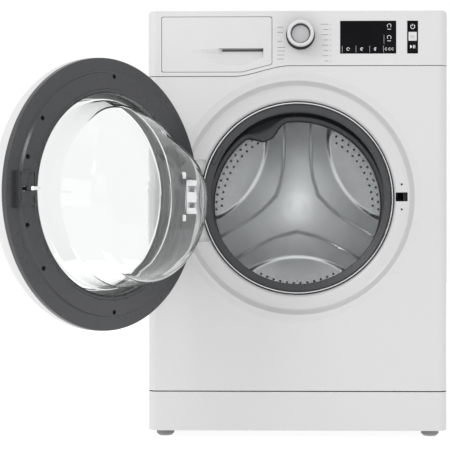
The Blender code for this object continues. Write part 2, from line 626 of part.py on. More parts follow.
def make_water_parts(frame, plastic, rubber, steel):
    pump = [(0, 70), (30, 70), (30, 86), (24, 88), (24, 122), (36, 124), (36, 168), (28, 170),
            (28, 205), (0, 205)]
    node("drain_pump", turned(pump, (165, 78), 18), frame, plastic,
         add=(box(150, 180, 95, 150, 24, 60),
              along(turned([(0, 0), (9, 0), (9, 62), (0, 62)], (0, 0), SMALL_ROUND),
                    (192, 145, 80), (1, 0, 0.35))))
    node("sump_hose", swept([(30, 300, 203), (30, 300, 185), (40, 292, 165), (80, 262, 148),
                             (125, 205, 146), (155, 160, 146), (165, 147, 134), (165, 145, 117)],
                            14, 10), frame, rubber)
    node("dispenser_hose", swept([(-210, 276, 736.5), (-210, 276, 715), (-208, 276, 690),
                                  (-200, 276, 660), (-192, 276, 645)], 14, 10), frame, rubber)
    node("inlet_valve", box(-180, -120, 530, 566, 768, 812), frame, plastic,
         add=(turned([(0, 560), (0, 584), (12, 584), (12, 560)], (-150, 790), SMALL_ROUND),))
    node("mains_gland", turned([(0, BACK + GAP), (16, BACK + GAP), (16, BACK + 4), (10, BACK + 14),
                                (5, BACK + 14), (5, BACK + 6), (0, BACK + 6)], (235, 740), 20),
         frame, rubber)


def main():
    for old in list(bpy.data.objects):
        bpy.data.objects.remove(old, do_unlink=True)
    white = material("white_enamel", (0.83, 0.83, 0.84), 0.3)
    trim = material("white_plastic", (0.85, 0.85, 0.85), 0.35)
    dark = material("dark_grey_plastic", (0.09, 0.095, 0.105), 0.4)
    black = material("black_gloss", (0.01, 0.01, 0.012), 0.12)
    rubber = material("grey_rubber", (0.07, 0.072, 0.075), 0.55)
    glass = material("clear_glass", (0.95, 0.97, 0.98), 0.03, see_through=1.0)
    chrome = material("chrome", (0.75, 0.76, 0.78), 0.15, metallic=1.0)
    drum_steel = material("stainless_steel", (0.62, 0.63, 0.65), 0.28, metallic=1.0)
    zinc = material("galvanised_steel", (0.5, 0.51, 0.53), 0.45, metallic=1.0)
    cast = material("cast_aluminium", (0.55, 0.56, 0.58), 0.5, metallic=1.0)
    tub_plastic = material("tub_plastic", (0.42, 0.43, 0.45), 0.6)
    clear_grey = material("drawer_plastic", (0.7, 0.72, 0.75), 0.35)
    blue = material("blue_plastic", (0.05, 0.2, 0.5), 0.4)
    board = material("board_plastic", (0.12, 0.14, 0.13), 0.5)
    concrete = material("concrete", (0.4, 0.39, 0.37), 0.9)
    frame = empty("washing_machine")
    make_cabinet(frame, white, zinc, dark)
    make_fascia(frame, trim, black)
    make_controls(frame, chrome, black, board)
    make_drawer(frame, trim, clear_grey, blue)
    make_door(frame, trim, dark, glass, chrome)
    make_gasket(frame, rubber)
    make_tub(frame, tub_plastic, zinc, concrete)
    make_drum(frame, drum_steel, cast, clear_grey)
    make_drive(frame, rubber, zinc, cast)
    make_suspension(frame, zinc, dark)
    make_water_parts(frame, clear_grey, rubber, zinc)
    centre_on_base(frame)


def centre_on_base(frame):
    """Moves the whole machine so that the middle of the bottom of its box is the origin."""
    bpy.context.view_layer.update()
    graph = bpy.context.evaluated_depsgraph_get()
    spots = [item.matrix_world @ vertex.co
             for item in (o.evaluated_get(graph) for o in bpy.data.objects
                          if o.type == "MESH" and not o.hide_render)
             for vertex in item.data.vertices]
    for axis in (0, 1):
        values = [spot[axis] for spot in spots]
        frame.location[axis] = -(min(values) + max(values)) / 2
    frame.location[2] = -min(spot[2] for spot in spots)


main()
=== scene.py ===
import json
import math

import bmesh
import bpy
from mathutils import Matrix, Vector


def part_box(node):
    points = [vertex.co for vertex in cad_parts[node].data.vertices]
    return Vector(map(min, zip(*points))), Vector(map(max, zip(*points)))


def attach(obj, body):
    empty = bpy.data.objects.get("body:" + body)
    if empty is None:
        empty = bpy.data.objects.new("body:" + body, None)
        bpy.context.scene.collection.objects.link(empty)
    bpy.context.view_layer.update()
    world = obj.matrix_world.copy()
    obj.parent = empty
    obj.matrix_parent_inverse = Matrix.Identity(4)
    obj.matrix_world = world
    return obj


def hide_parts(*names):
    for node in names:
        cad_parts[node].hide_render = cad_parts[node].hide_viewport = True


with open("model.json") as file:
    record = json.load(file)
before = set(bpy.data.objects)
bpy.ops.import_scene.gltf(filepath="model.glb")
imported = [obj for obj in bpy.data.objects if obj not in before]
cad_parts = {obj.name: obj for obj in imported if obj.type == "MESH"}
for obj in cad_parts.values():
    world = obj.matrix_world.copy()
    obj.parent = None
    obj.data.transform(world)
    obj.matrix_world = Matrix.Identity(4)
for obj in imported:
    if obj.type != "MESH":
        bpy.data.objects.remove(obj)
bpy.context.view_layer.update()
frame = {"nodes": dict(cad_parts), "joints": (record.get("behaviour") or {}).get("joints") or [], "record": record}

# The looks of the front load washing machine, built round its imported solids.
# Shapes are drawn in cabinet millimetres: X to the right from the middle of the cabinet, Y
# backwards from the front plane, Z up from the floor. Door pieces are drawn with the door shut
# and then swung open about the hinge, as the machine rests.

MM = 0.001
WELD = 2e-6             # metres: points nearer than this become one
ROUND = 128             # sides of a turned piece
FINE_ROUND = 192        # and of the largest rings
MOST_SINGLE_CUTS = 20   # more cuts than this are made in one Boolean

front_low, front_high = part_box("front_panel")
CABINET_X = (front_low.x + front_high.x) / 2
CABINET_Y = front_low.y

JOINTS = {joint["name"]: joint for joint in frame["joints"]}
hinge_place = Vector(JOINTS["door_hinge"]["pos_m"])
OPEN_ANGLE = math.radians(JOINTS["door_hinge"]["range_deg"][1])
SWING = (Matrix.Translation(hinge_place) @ Matrix.Rotation(-OPEN_ANGLE, 4, "Z")
         @ Matrix.Translation(-hinge_place))
DOOR_BODIES = ("door", "door_latch")

# Sizes and places that several pieces share
HALF_WIDTH = 297.5
EDGE_RADIUS = 18.0
SIDE_FRONT = 21.7
OPENING_Z = 478.0
DRUM_Z = 465.0
PORTHOLE = (0.0, OPENING_Z)
DRUM_AXIS = (0.0, DRUM_Z)
LATCH_Z = 483.0
HINGE = (-225.0, -28.0)
LEAF_HALF, LEAF_END = 33.0, 48.0
BOWL_SLOPE_START, BOWL_SLOPE = 130.0, 0.7
FASCIA_FRONT, FASCIA_TOP = -1.0, 848.0
FASCIA_LOW, FASCIA_HIGH = 719.0, 740.0
FASCIA_STEP = (-128.0, -14.0)
KNOB = (6.0, 799.0)
DRAWER = (-270.0, -50.0, 726.5, 837.0)
DISPLAY = (84.4, 195.4, 763.0, 828.0)
KEYS = (217.0, 238.5, 763.0, 828.0)
KEY_SPLITS = (765.0, 787.6, 806.2, 826.0)
ARMS, PADS = (90, 210, 330), (30, 150, 270)
DRUM_BACK = 450.0


# Camera, light and floor

def make_stage():
    scene = bpy.context.scene
    scene.view_settings.view_transform = "Standard"
    lens = bpy.data.cameras.new("camera")
    lens.lens = 90.8
    lens.shift_x = -0.1216
    camera = bpy.data.objects.new("camera", lens)
    camera.location = (CABINET_X - 0.003, CABINET_Y - 2.25, 0.4237)
    camera.rotation_euler = (math.radians(90), 0, math.radians(0.82))
    scene.collection.objects.link(camera)
    scene.camera = camera

    world = bpy.data.worlds.new("studio")
    world.use_nodes = True
    world.node_tree.nodes["Background"].inputs["Color"].default_value = (1, 1, 1, 1)
    world.node_tree.nodes["Background"].inputs["Strength"].default_value = 1.0
    scene.world = world

    for name, place, aim, size, power in (
            ("key", (-1.9, -2.5, 2.5), (0.1, 0.0, 0.5), 1.1, 28.0),
            ("side", (-2.6, -2.2, 0.7), (0.0, 0.0, 0.3), 1.6, 9.0),
            ("front", (0.3, -3.0, 1.5), (0.1, 0.3, 0.46), 1.6, 5.0),
            ("top", (0.1, 0.0, 3.2), (0.1, 0.0, 0.0), 2.4, 6.0)):
        lamp = bpy.data.lights.new(name, "AREA")
        lamp.shape = "SQUARE"
        lamp.size = size
        lamp.energy = power
        holder = bpy.data.objects.new(name, lamp)
        holder.location = place
        holder.rotation_euler = (Vector(aim) - Vector(place)).to_track_quat("-Z", "Y").to_euler()
        scene.collection.objects.link(holder)

    reach = 6.0
    floor_mesh = bpy.data.meshes.new("floor")
    floor_mesh.from_pydata([(-reach, -reach, 0), (reach, -reach, 0), (reach, reach, 0),
                            (-reach, reach, 0)], [], [(0, 1, 2, 3)])
    floor = bpy.data.objects.new("floor", floor_mesh)
    scene.collection.objects.link(floor)
    floor_mesh.materials.append(surface("floor_white", (0.35, 0.35, 0.35), 0.9, mottle=0.004,
                                        Emission_Color=(1, 1, 1, 1), Emission_Strength=0.92))


# Materials

RELIEF_HEIGHT = 0.0005


def surface(name, colour, roughness, metallic=0.0, mottle=0.02, scale=14.0, detail=4.0,
            rough_range=0.06, grain=900.0, relief=0.04, stretch=(1, 1, 1), cells=False, **sockets):
    """A procedural finish: colour and gloss vary over broad noise, and a fine grain is raised."""
    made = bpy.data.materials.new(name)
    made.use_nodes = True
    tree = made.node_tree
    shader = tree.nodes["Principled BSDF"]
    add, link = tree.nodes.new, tree.links.new
    place = add("ShaderNodeTexCoord")
    mapping = add("ShaderNodeMapping")
    mapping.inputs["Scale"].default_value = stretch
    link(place.outputs["Object"], mapping.inputs["Vector"])
    if cells:
        broad = add("ShaderNodeTexVoronoi")
        broad.inputs["Scale"].default_value = scale
        spread = broad.outputs["Color"]
    else:
        broad = add("ShaderNodeTexNoise")
        broad.inputs["Scale"].default_value = scale
        broad.inputs["Detail"].default_value = detail
        spread = broad.outputs["Fac"]
    link(mapping.outputs["Vector"], broad.inputs["Vector"])
    tones = add("ShaderNodeValToRGB")
    tones.color_ramp.elements[0].position = 0.2
    tones.color_ramp.elements[1].position = 0.8
    for element, sign in zip(tones.color_ramp.elements, (-1, 1)):
        element.color = (*[min(channel * (1 + sign * mottle), 1) for channel in colour], 1)
    link(spread, tones.inputs["Fac"])
    link(tones.outputs["Color"], shader.inputs["Base Color"])
    gloss = add("ShaderNodeMapRange")
    gloss.inputs["To Min"].default_value = max(roughness - rough_range / 2, 0.01)
    gloss.inputs["To Max"].default_value = roughness + rough_range / 2
    link(spread, gloss.inputs["Value"])
    link(gloss.outputs["Result"], shader.inputs["Roughness"])
    shader.inputs["Metallic"].default_value = metallic
    if relief:
        fine = add("ShaderNodeTexNoise")
        fine.inputs["Scale"].default_value = grain
        fine.inputs["Detail"].default_value = 2.0
        link(mapping.outputs["Vector"], fine.inputs["Vector"])
        bump = add("ShaderNodeBump")
        bump.inputs["Strength"].default_value = relief
        bump.inputs["Distance"].default_value = RELIEF_HEIGHT
        link(fine.outputs["Fac"], bump.inputs["Height"])
        link(bump.outputs["Normal"], shader.inputs["Normal"])
    for key, value in sockets.items():
        shader.inputs[key.replace("_", " ")].default_value = value
    return made


def look(*values, **settings):
    """One row of the finish table: colour, roughness and metallic, then what differs."""
    return values, settings


BRUSHED = (1, 0.03, 1)
FINISH_TABLE = {
    "white_enamel": look((0.54, 0.54, 0.54), 0.28, mottle=0.002, scale=60, rough_range=0.02,
                         grain=420, relief=0.006, Coat_Weight=0.2, Coat_Roughness=0.12),
    # A lighter copy of the white enamel: painted light for the hinge pocket, offsetting the shade the recess and
    # the door cast on it.
    "pocket_painted_light_enamel": look((0.74, 0.74, 0.74), 0.3, mottle=0.004, scale=60, grain=420,
                          relief=0.01, Coat_Weight=0.2),
    "white_plastic": look((0.55, 0.55, 0.55), 0.36, mottle=0.01, grain=2200, relief=0.05),
    "worktop_laminate": look((0.56, 0.56, 0.555), 0.42, scale=220, grain=1500, relief=0.08),
    "dark_plastic": look((0.037, 0.038, 0.042), 0.28, mottle=0.07, scale=40, grain=2600,
                         relief=0.05),
    "black_gloss": look((0.005, 0.005, 0.006), 0.10, mottle=0.25, scale=9, rough_range=0.05,
                        relief=0.0, Specular_IOR_Level=0.03),
    "grey_rubber": look((0.032, 0.033, 0.036), 0.42, mottle=0.12, scale=60, grain=1800,
                        relief=0.16),
    "belt_rubber": look((0.03, 0.03, 0.03), 0.7, mottle=0.2, scale=90, relief=0.35),
    "clear_glass": look((0.97, 0.985, 0.98), 0.02, mottle=0.004, rough_range=0.01, relief=0.0,
                        Transmission_Weight=1.0, IOR=1.33),
    "clear_window": look((0.95, 0.955, 0.95), 0.03, mottle=0.004, rough_range=0.02, relief=0.0,
                         Transmission_Weight=1.0, IOR=1.3),
    "chrome": look((0.80, 0.81, 0.82), 0.12, 1.0, mottle=0.03, scale=70, grain=1500,
                   relief=0.02),
    # Plated steel drawn as a near-white non-metal: the pale tone is a painted reflection standing in for the
    # bright light the plate mirrors.
    "plated_steel": look((0.93, 0.93, 0.94), 0.35, scale=60, grain=1500, relief=0.03),
    "stainless_steel": look((0.57, 0.59, 0.59), 0.30, 1.0, mottle=0.05, scale=34,
                            rough_range=0.08, grain=700, relief=0.05, stretch=(1, 0.25, 1)),
    "polished_steel": look((0.86, 0.87, 0.87), 0.16, 1.0, mottle=0.03, scale=30,
                           rough_range=0.05, grain=700, relief=0.02),
    "galvanised_steel": look((0.52, 0.53, 0.55), 0.42, 1.0, mottle=0.10, scale=120,
                             rough_range=0.16, cells=True, grain=600, relief=0.06),
    "bearing_steel": look((0.6, 0.6, 0.61), 0.22, 1.0, mottle=0.05, scale=200, relief=0.03,
                          stretch=BRUSHED),
    "motor_metal": look((0.40, 0.41, 0.42), 0.45, 1.0, mottle=0.12, scale=90, grain=700,
                        relief=0.15),
    "cast_aluminium": look((0.55, 0.56, 0.57), 0.55, 1.0, mottle=0.10, scale=120, grain=500,
                           relief=0.5),
    "tub_plastic": look((0.40, 0.41, 0.42), 0.55, mottle=0.08, scale=45, grain=1200,
                        relief=0.22),
    "drawer_plastic": look((0.62, 0.65, 0.68), 0.34, mottle=0.03, scale=30, grain=1800,
                           relief=0.06),
    "lifter_plastic": look((0.52, 0.53, 0.55), 0.4, mottle=0.03, scale=50, grain=1500,
                           relief=0.08),
    "blue_plastic": look((0.05, 0.20, 0.48), 0.35, mottle=0.06, scale=40, grain=1800,
                         relief=0.08),
    "foot_plastic": look((0.23, 0.23, 0.235), 0.5, mottle=0.05, scale=60, grain=1500,
                         relief=0.15),
    # Dark grey for the strip behind the grip slot: painted shade for the slot's deep, shaded hollow.
    "slot_painted_shade_plastic": look((0.11, 0.11, 0.115), 0.5, mottle=0.05, scale=60, grain=1500,
                          relief=0.1),
    "concrete": look((0.40, 0.385, 0.36), 0.9, mottle=0.30, scale=160, detail=8, grain=420,
                     relief=0.9),
    "knob_face": look((0.40, 0.40, 0.41), 0.38, 0.5, mottle=0.03, scale=60, grain=1200,
                      relief=0.03),
    # Near-black with little sheen: dark plastic darkened further as painted shade for the knob's shaded underside
    # and recess wall.
    "knob_painted_shade": look((0.015, 0.015, 0.016), 0.5, mottle=0.1, scale=60, grain=1500,
                      relief=0.05, Specular_IOR_Level=0.08),
    "ink": look((0.20, 0.20, 0.21), 0.5, mottle=0.05, relief=0.0),
    "icon_white": look((0.75, 0.76, 0.78), 0.4, mottle=0.03, relief=0.0),
}


# Shapes: each is a pair of points and faces in cabinet millimetres.

def prism(outline, low, high, axis="Y"):
    """The outline pushed along an axis: XY outlines go along Z, XZ along Y and YZ along X."""
    place = {"Z": lambda a, b, c: (a, b, c), "Y": lambda a, b, c: (a, c, b),
             "X": lambda a, b, c: (c, a, b)}[axis]
    count = len(outline)
    points = [place(a, b, low) for a, b in outline] + [place(a, b, high) for a, b in outline]
    sides = [(i, (i + 1) % count, count + (i + 1) % count, count + i) for i in range(count)]
    return points, sides + [tuple(range(count)), tuple(range(count, 2 * count))]


def box(left, right, front, back, bottom, top):
    """A plain block, for cuts and for small parts of a piece."""
    return prism([(left, front), (right, front), (right, back), (left, back)], bottom, top, "Z")


def turned(profile, centre, ways=ROUND, whole=True, change=None):
    """The (radius, y) profile turned about a line along Y. change may bend (r, y, angle)."""
    points, rings = [], []
    for radius, depth in profile:
        if radius == 0:
            spot = change(0.0, depth, 0.0) if change else (0.0, depth, 0.0)
            points.append((centre[0], spot[1], centre[1] + spot[2]))
            rings.append([len(points) - 1] * ways)
            continue
        ring = []
        for i in range(ways):
            angle = 2 * math.pi * i / ways
            r, y, rise = change(radius, depth, angle) if change else (radius, depth, 0.0)
            ring.append(len(points))
            points.append((centre[0] + r * math.cos(angle), y,
                           centre[1] + rise + r * math.sin(angle)))
        rings.append(ring)
    faces = []
    for here, there in zip(rings, rings[1:] + rings[:1] if whole else rings[1:]):
        for i in range(ways):
            after = (i + 1) % ways
            face = list(dict.fromkeys((here[i], here[after], there[after], there[i])))
            if len(face) > 2:
                faces.append(tuple(face))
    return points, faces


def along(shape, start, direction):
    """A shape turned about Y, moved so that its Y axis runs from start in a direction."""
    points, faces = shape
    turn = Vector((0, 1, 0)).rotation_difference(Vector(direction))
    return [tuple(turn @ Vector(point) + Vector(start)) for point in points], faces


def merged(*shapes):
    """Several shapes as one."""
    points, faces = [], []
    for more_points, more_faces in shapes:
        start = len(points)
        points += list(more_points)
        faces += [tuple(start + i for i in face) for face in more_faces]
    return points, faces


def polar(centre, radius, degrees):
    """The point at an angle on a circle."""
    angle = math.radians(degrees)
    return centre[0] + radius * math.cos(angle), centre[1] + radius * math.sin(angle)


def arc(centre, radius, start, end, steps):
    """Points along an arc, from one angle in degrees to another."""
    return [polar(centre, radius, start + (end - start) * i / steps) for i in range(steps + 1)]


def eased(outline, radius, steps=4, closed=False):
    """The outline with its corners rounded; radius is one number or one for each point."""
    count = len(outline)
    nearly_straight, most_of_side = 0.03, 0.48
    result = []
    for i, corner in enumerate(outline):
        size = radius[i] if isinstance(radius, (list, tuple)) else radius
        middle = Vector(corner)
        before = Vector(outline[i - 1]) - middle
        after = Vector(outline[(i + 1) % count]) - middle
        on_end = not closed and i in (0, count - 1)
        if on_end or size == 0 or before.angle(after) > math.pi - nearly_straight:
            result.append(tuple(middle))
            continue
        reach = min(size / math.tan(before.angle(after) / 2), most_of_side * before.length,
                    most_of_side * after.length)
        start = middle + before.normalized() * reach
        end = middle + after.normalized() * reach
        for k in range(steps + 1):
            t = k / steps
            result.append(tuple((1 - t) ** 2 * start + 2 * t * (1 - t) * middle + t * t * end))
    return result


def rounded_box(left, right, bottom, top, radius, low, high):
    """A block along Y whose four long edges are rounded."""
    corners = [(left, bottom), (right, bottom), (right, top), (left, top)]
    return prism(eased(corners, radius, closed=True), low, high)


def smoothstep(value, low=0.0, high=1.0):
    """A smooth rise from 0 at low to 1 at high."""
    part = min(max((value - low) / (high - low), 0.0), 1.0)
    return part * part * (3 - 2 * part)


# Objects

def place_mesh(name, shape, swing=False):
    """An object made from a shape; swing opens it with the door."""
    points, faces = shape
    spots = [Vector((CABINET_X + x * MM, CABINET_Y + y * MM, z * MM)) for x, y, z in points]
    if swing:
        spots = [SWING @ spot for spot in spots]
    mesh = bpy.data.meshes.new(name)
    mesh.from_pydata(spots, [], faces)
    work = bmesh.new()
    work.from_mesh(mesh)
    bmesh.ops.remove_doubles(work, verts=work.verts, dist=WELD)
    bmesh.ops.recalc_face_normals(work, faces=work.faces)
    work.to_mesh(mesh)
    work.free()
    made = bpy.data.objects.new(name, mesh)
    bpy.context.scene.collection.objects.link(made)
    return made


def settle(made):
    """Makes the object's modifiers part of its mesh."""
    bpy.context.view_layer.update()
    graph = bpy.context.evaluated_depsgraph_get()
    mesh = bpy.data.meshes.new_from_object(made.evaluated_get(graph))
    made.modifiers.clear()
    made.data = mesh


def apply_tool(made, tool, operation="DIFFERENCE"):
    """One Boolean with another object, which is used up."""
    change = made.modifiers.new("Boolean", "BOOLEAN")
    change.operation = operation
    change.solver = "EXACT"
    change.object = tool
    settle(made)
    bpy.data.objects.remove(tool)


def combine(made, shapes, operation="DIFFERENCE", swing=False):
    """Joins or cuts the shapes one by one, or many separate cuts at once."""
    for group in ([shapes] if len(shapes) > MOST_SINGLE_CUTS else [[shape] for shape in shapes]):
        apply_tool(made, place_mesh("tool", merged(*group), swing), operation)


def thicken(made, thickness):
    """Gives a sheet its thickness, inwards from its own surface."""
    change = made.modifiers.new("Solidify", "SOLIDIFY")
    change.thickness = thickness * MM
    change.offset = -1.0
    change.use_even_offset = True
    settle(made)


def soften(made, width, segments=3, angle=38.0):
    """Rounds the edges that are sharper than an angle."""
    change = made.modifiers.new("Bevel", "BEVEL")
    change.width = width * MM
    change.segments = segments
    change.limit_method = "ANGLE"
    change.angle_limit = math.radians(angle)
    change.use_clamp_overlap = True
    settle(made)


def shade(made, angle):
    made.data.shade_smooth()
    made.data.set_sharp_from_angle(angle=math.radians(angle))
    change = made.modifiers.new("Normals", "WEIGHTED_NORMAL")
    change.keep_sharp = True
    change.weight = 80


def dress(made, slot, body="cabinet", finish=None, angle=34.0):
    """Finishes a piece and puts it on its body. It stands for the CAD node of its own name."""
    shade(made, angle)
    made.data.materials.clear()
    made.data.materials.append(FINISHES[finish or slot])
    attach(made, body)
    node = made.name.split(".")[0]
    if node in frame["nodes"]:
        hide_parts(node)


def piece(name, shape, slot, body="cabinet", finish=None, add=(), cut=(), thick=0.0,
          bevel=0.0, segments=2, angle=34.0):
    """A visible piece built from a shape and its Booleans, then dressed."""
    swing = body in DOOR_BODIES
    made = place_mesh(name, shape, swing)
    if thick:
        thicken(made, thick)
    if add:
        combine(made, add, "UNION", swing)
    if cut:
        combine(made, cut, "DIFFERENCE", swing)
    if bevel:
        soften(made, bevel, segments)
    dress(made, slot, body, finish, angle)


# Front panel, plinth and worktop

EDGE_STEPS = 12


def wrapped_front(front, thickness, back):
    """The plan of a front sheet whose two upright edges curve back."""
    middle = front + EDGE_RADIUS
    inside = HALF_WIDTH - thickness
    left, right = -HALF_WIDTH + EDGE_RADIUS, HALF_WIDTH - EDGE_RADIUS
    inner = EDGE_RADIUS - thickness
    return ([(-HALF_WIDTH, back)] + arc((left, middle), EDGE_RADIUS, 180, 270, EDGE_STEPS)
            + arc((right, middle), EDGE_RADIUS, 270, 360, EDGE_STEPS)
            + [(HALF_WIDTH, back), (inside, back)]
            + arc((right, middle), inner, 360, 270, EDGE_STEPS)
            + arc((left, middle), inner, 270, 180, EDGE_STEPS) + [(-inside, back)])


def rounded_plan(front, inset, back):
    """The filled plan behind a front sheet with two rounded upright edges."""
    middle, radius = front + EDGE_RADIUS, EDGE_RADIUS - inset
    side = HALF_WIDTH - EDGE_RADIUS
    return ([(-side - radius, back)] + arc((-side, middle), radius, 180, 270, EDGE_STEPS)
            + arc((side, middle), radius, 270, 360, EDGE_STEPS) + [(side + radius, back)])


def step_line(reach, drop=0.0):
    """The fascia's lower edge: low on the left, high on the right, with a smooth step."""
    start, end = FASCIA_STEP
    steps = 24
    line = [(-reach, FASCIA_LOW - drop)]
    for i in range(steps + 1):
        part = i / steps
        line.append((start + (end - start) * part,
                     FASCIA_LOW - drop + smoothstep(part) * (FASCIA_HIGH - FASCIA_LOW)))
    return line + [(reach, FASCIA_HIGH - drop)]


def make_front_panel():
    """The front sheet: cut along the fascia, with the pressed dish round its porthole."""
    beyond = HALF_WIDTH + 10
    above = step_line(beyond, drop=1.2) + [(beyond, 800.0), (-beyond, 800.0)]
    rim, thickness = 249.0, 1.5
    panel = place_mesh("front_panel", prism(wrapped_front(0.0, thickness, SIDE_FRONT), 95.0,
                                            760.0, "Z"))
    hole = turned([(0, -10), (rim, -10), (rim, 60), (0, 60)], PORTHOLE)
    combine(panel, [prism(above, -20, 60), hole])
    front = eased([(rim, 0.0), (247.6, 0.0), (238.4, 3.2), (232.8, 4.8), (223.6, 18.4),
                   (199.0, 27.0), (194.2, 30.5), (194.2, 38.0)],
                  [0, 3.0, 8.0, 4.0, 9.0, 6.0, 3.0, 0], 6)
    behind = [(196.0, 38.0), (196.0, 31.5), (200.0, 28.6), (225.6, 19.8), (234.8, 6.4),
              (239.6, 4.9), (247.2, 1.8), (rim, thickness)]
    replace_hole_wall(panel, rim, turned(front + behind, PORTHOLE, whole=False))

    # The hinge pocket: a recess between the dish's slope and the porthole's lip
    low, high = OPENING_Z - 88.0, OPENING_Z + 77.0
    lip_radius, lip_steps = 197.2, 14
    lip = [(-math.sqrt(lip_radius ** 2 - (z - OPENING_Z) ** 2), z)
           for z in (low + (high - low) * i / lip_steps for i in range(lip_steps + 1))]
    recess = eased([(-228.0, high), (-228.0, low)] + lip,
                   [7, 7, 9] + [0] * (lip_steps - 1) + [9], 5, closed=True)
    hollow = prism(recess, -20.0, 35.6)
    moulding = [(195.4, 37.8), (195.4, 31.4), (199.4, 27.9), (225.0, 19.4), (234.2, 6.8),
                (239.4, 6.2), (239.4, 37.8)]
    pocket = place_mesh("hinge_pocket", turned(moulding, PORTHOLE))
    combine(pocket, [box(-244, -120, 4.0, 37.4, low - 3, high + 3)], "INTERSECT")
    combine(pocket, [hollow])
    # The pocket wears a lighter copy of the panel's enamel: painted light against the shade it lies in.
    dress(pocket, "white_enamel", finish="pocket_painted_light_enamel", angle=40)

    # The latch slot and its two screw holes
    slot = rounded_box(197, 220, OPENING_Z - 7, OPENING_Z + 11, 1.5, 8, 60)
    holes = [turned([(0, 5), (2.1, 5), (2.1, 60), (0, 60)], (208.5, OPENING_Z + 2 + z), 20)
             for z in (25, -25)]
    combine(panel, [hollow, slot, *holes])
    soften(panel, 0.5, 2, angle=48)
    dress(panel, "white_enamel", angle=40)


def replace_hole_wall(panel, rim, shape):
    """Takes away the plain wall of the porthole and welds the pressed dish to both its edges."""
    on_wall, on_edge, sliver = 1.2e-4, 1e-5, 1e-6       # metres
    work = bmesh.new()
    work.from_mesh(panel.data)
    centre = Vector((CABINET_X, OPENING_Z * MM))

    def from_rim(vertex):
        return (Vector((vertex.co.x, vertex.co.z)) - centre).length - rim * MM

    wall = [face for face in work.faces
            if all(abs(from_rim(vertex)) < on_wall for vertex in face.verts)]
    bmesh.ops.delete(work, geom=wall, context="FACES_ONLY")
    edge = [vertex for vertex in work.verts if abs(from_rim(vertex)) < on_wall]
    points, faces = shape
    start = [work.verts.new((CABINET_X + x * MM, CABINET_Y + y * MM, z * MM))
             for x, y, z in points]
    for face in faces:
        work.faces.new([start[i] for i in face])
    ends = [vertex for vertex in start if abs(from_rim(vertex)) < on_edge]
    for vertex in edge:
        vertex.co = min(ends, key=lambda end: (end.co - vertex.co).length).co
    bmesh.ops.remove_doubles(work, verts=work.verts, dist=on_edge)
    bmesh.ops.dissolve_degenerate(work, edges=work.edges, dist=sliver)
    bmesh.ops.recalc_face_normals(work, faces=work.faces)
    work.to_mesh(panel.data)
    work.free()


def ribs(radius, height, angle):
    """Eighteen grip ribs round a foot's edge."""
    on_edge = radius > 17
    return radius - 0.7 * on_edge * (0.5 + 0.5 * math.cos(18 * angle)), height, 0.0


def make_cabinet():
    make_front_panel()
    piece("plinth", prism(wrapped_front(0.0, 1.5, SIDE_FRONT), 16.0, 93.0, "Z"), "white_plastic",
          finish="white_enamel", bevel=0.6)
    slab = eased([(22.2, 832), (22.2, 850), (571, 850), (571, 832)], [1.5, 5, 5, 1.5], 5,
                 closed=True)
    piece("worktop", prism(slab, -297, 297, "X"), "worktop_laminate", bevel=0.8)
    foot_radius = 17.9
    tread = [(foot_radius, 5.5 + i) for i in range(7)]
    profile = (eased([(0, 0), (13.5, 0), (foot_radius, 4.5)], [0, 1.5, 0], 3) + tread
               + eased([(foot_radius, 12.5), (16.5, 13.6), (6, 14.6), (4.6, 16), (4.6, 46),
                        (0, 46)], [0, 1, 1, 1, 0, 0], 3))
    foot = turned(profile, (0, 0), 72, change=ribs)
    for name, x, y in (("foot_front_left", -267, 45), ("foot_front_right", 267, 45),
                       ("foot_rear_left", -267, 540), ("foot_rear_right", 267, 540)):
        piece(name, along(foot, (x, y, 0), (0, 0, 1)), "dark_plastic", finish="foot_plastic")


# Control fascia

def drawer_outline(inset=0.0):
    """The drawer front's outline, whose lower edge follows the fascia's step."""
    left, right, bottom, top = DRAWER
    left, right, bottom, top = left + inset, right - inset, bottom + inset, top - inset
    corners = [(-110.0 - inset * 0.4, bottom), (right, 742.0 + inset * 0.8), (right, top),
               (left, top), (left, bottom)]
    return eased(corners, [14, 5, 5, 4, 4], 6, closed=True)


def make_fascia():
    """The fascia: a shell with closed top corners, cut for the drawer, display and keys."""
    corner, wall, beyond = 9.0, 2.5, HALF_WIDTH + 10
    side, level = HALF_WIDTH - corner, FASCIA_TOP - corner
    outline = (step_line(beyond) + [(beyond, level)] + arc((side, level), corner, 0, 90, 8)
               + arc((-side, level), corner, 90, 180, 8) + [(-beyond, level)])
    hollow_outline = ([(-HALF_WIDTH + wall, FASCIA_LOW - 20), (HALF_WIDTH - wall, FASCIA_LOW - 20)]
                      + arc((side, level), corner - wall, 0, 90, 8)
                      + arc((-side, level), corner - wall, 90, 180, 8))
    panel = place_mesh("control_fascia", prism(rounded_plan(FASCIA_FRONT, 0.0, SIDE_FRONT),
                                               FASCIA_LOW - 5, 856, "Z"))
    combine(panel, [prism(outline, -20, 60)], "INTERSECT")
    hollow = place_mesh("hollow", prism(rounded_plan(FASCIA_FRONT, wall, 60), 600, 900, "Z"))
    combine(hollow, [prism(hollow_outline, -20, 60)], "INTERSECT")
    apply_tool(panel, hollow)
    openings = [prism(drawer_outline(), -20, 16),
                turned([(0, -20), (0, 30), (5.5, 30), (5.5, -20)], KNOB, 24)]
    openings += [rounded_box(*window, 0.8, -20, 20) for window in (DISPLAY, KEYS)]
    combine(panel, openings)
    soften(panel, 0.6, 3, angle=40)
    dress(panel, "white_plastic", angle=36)


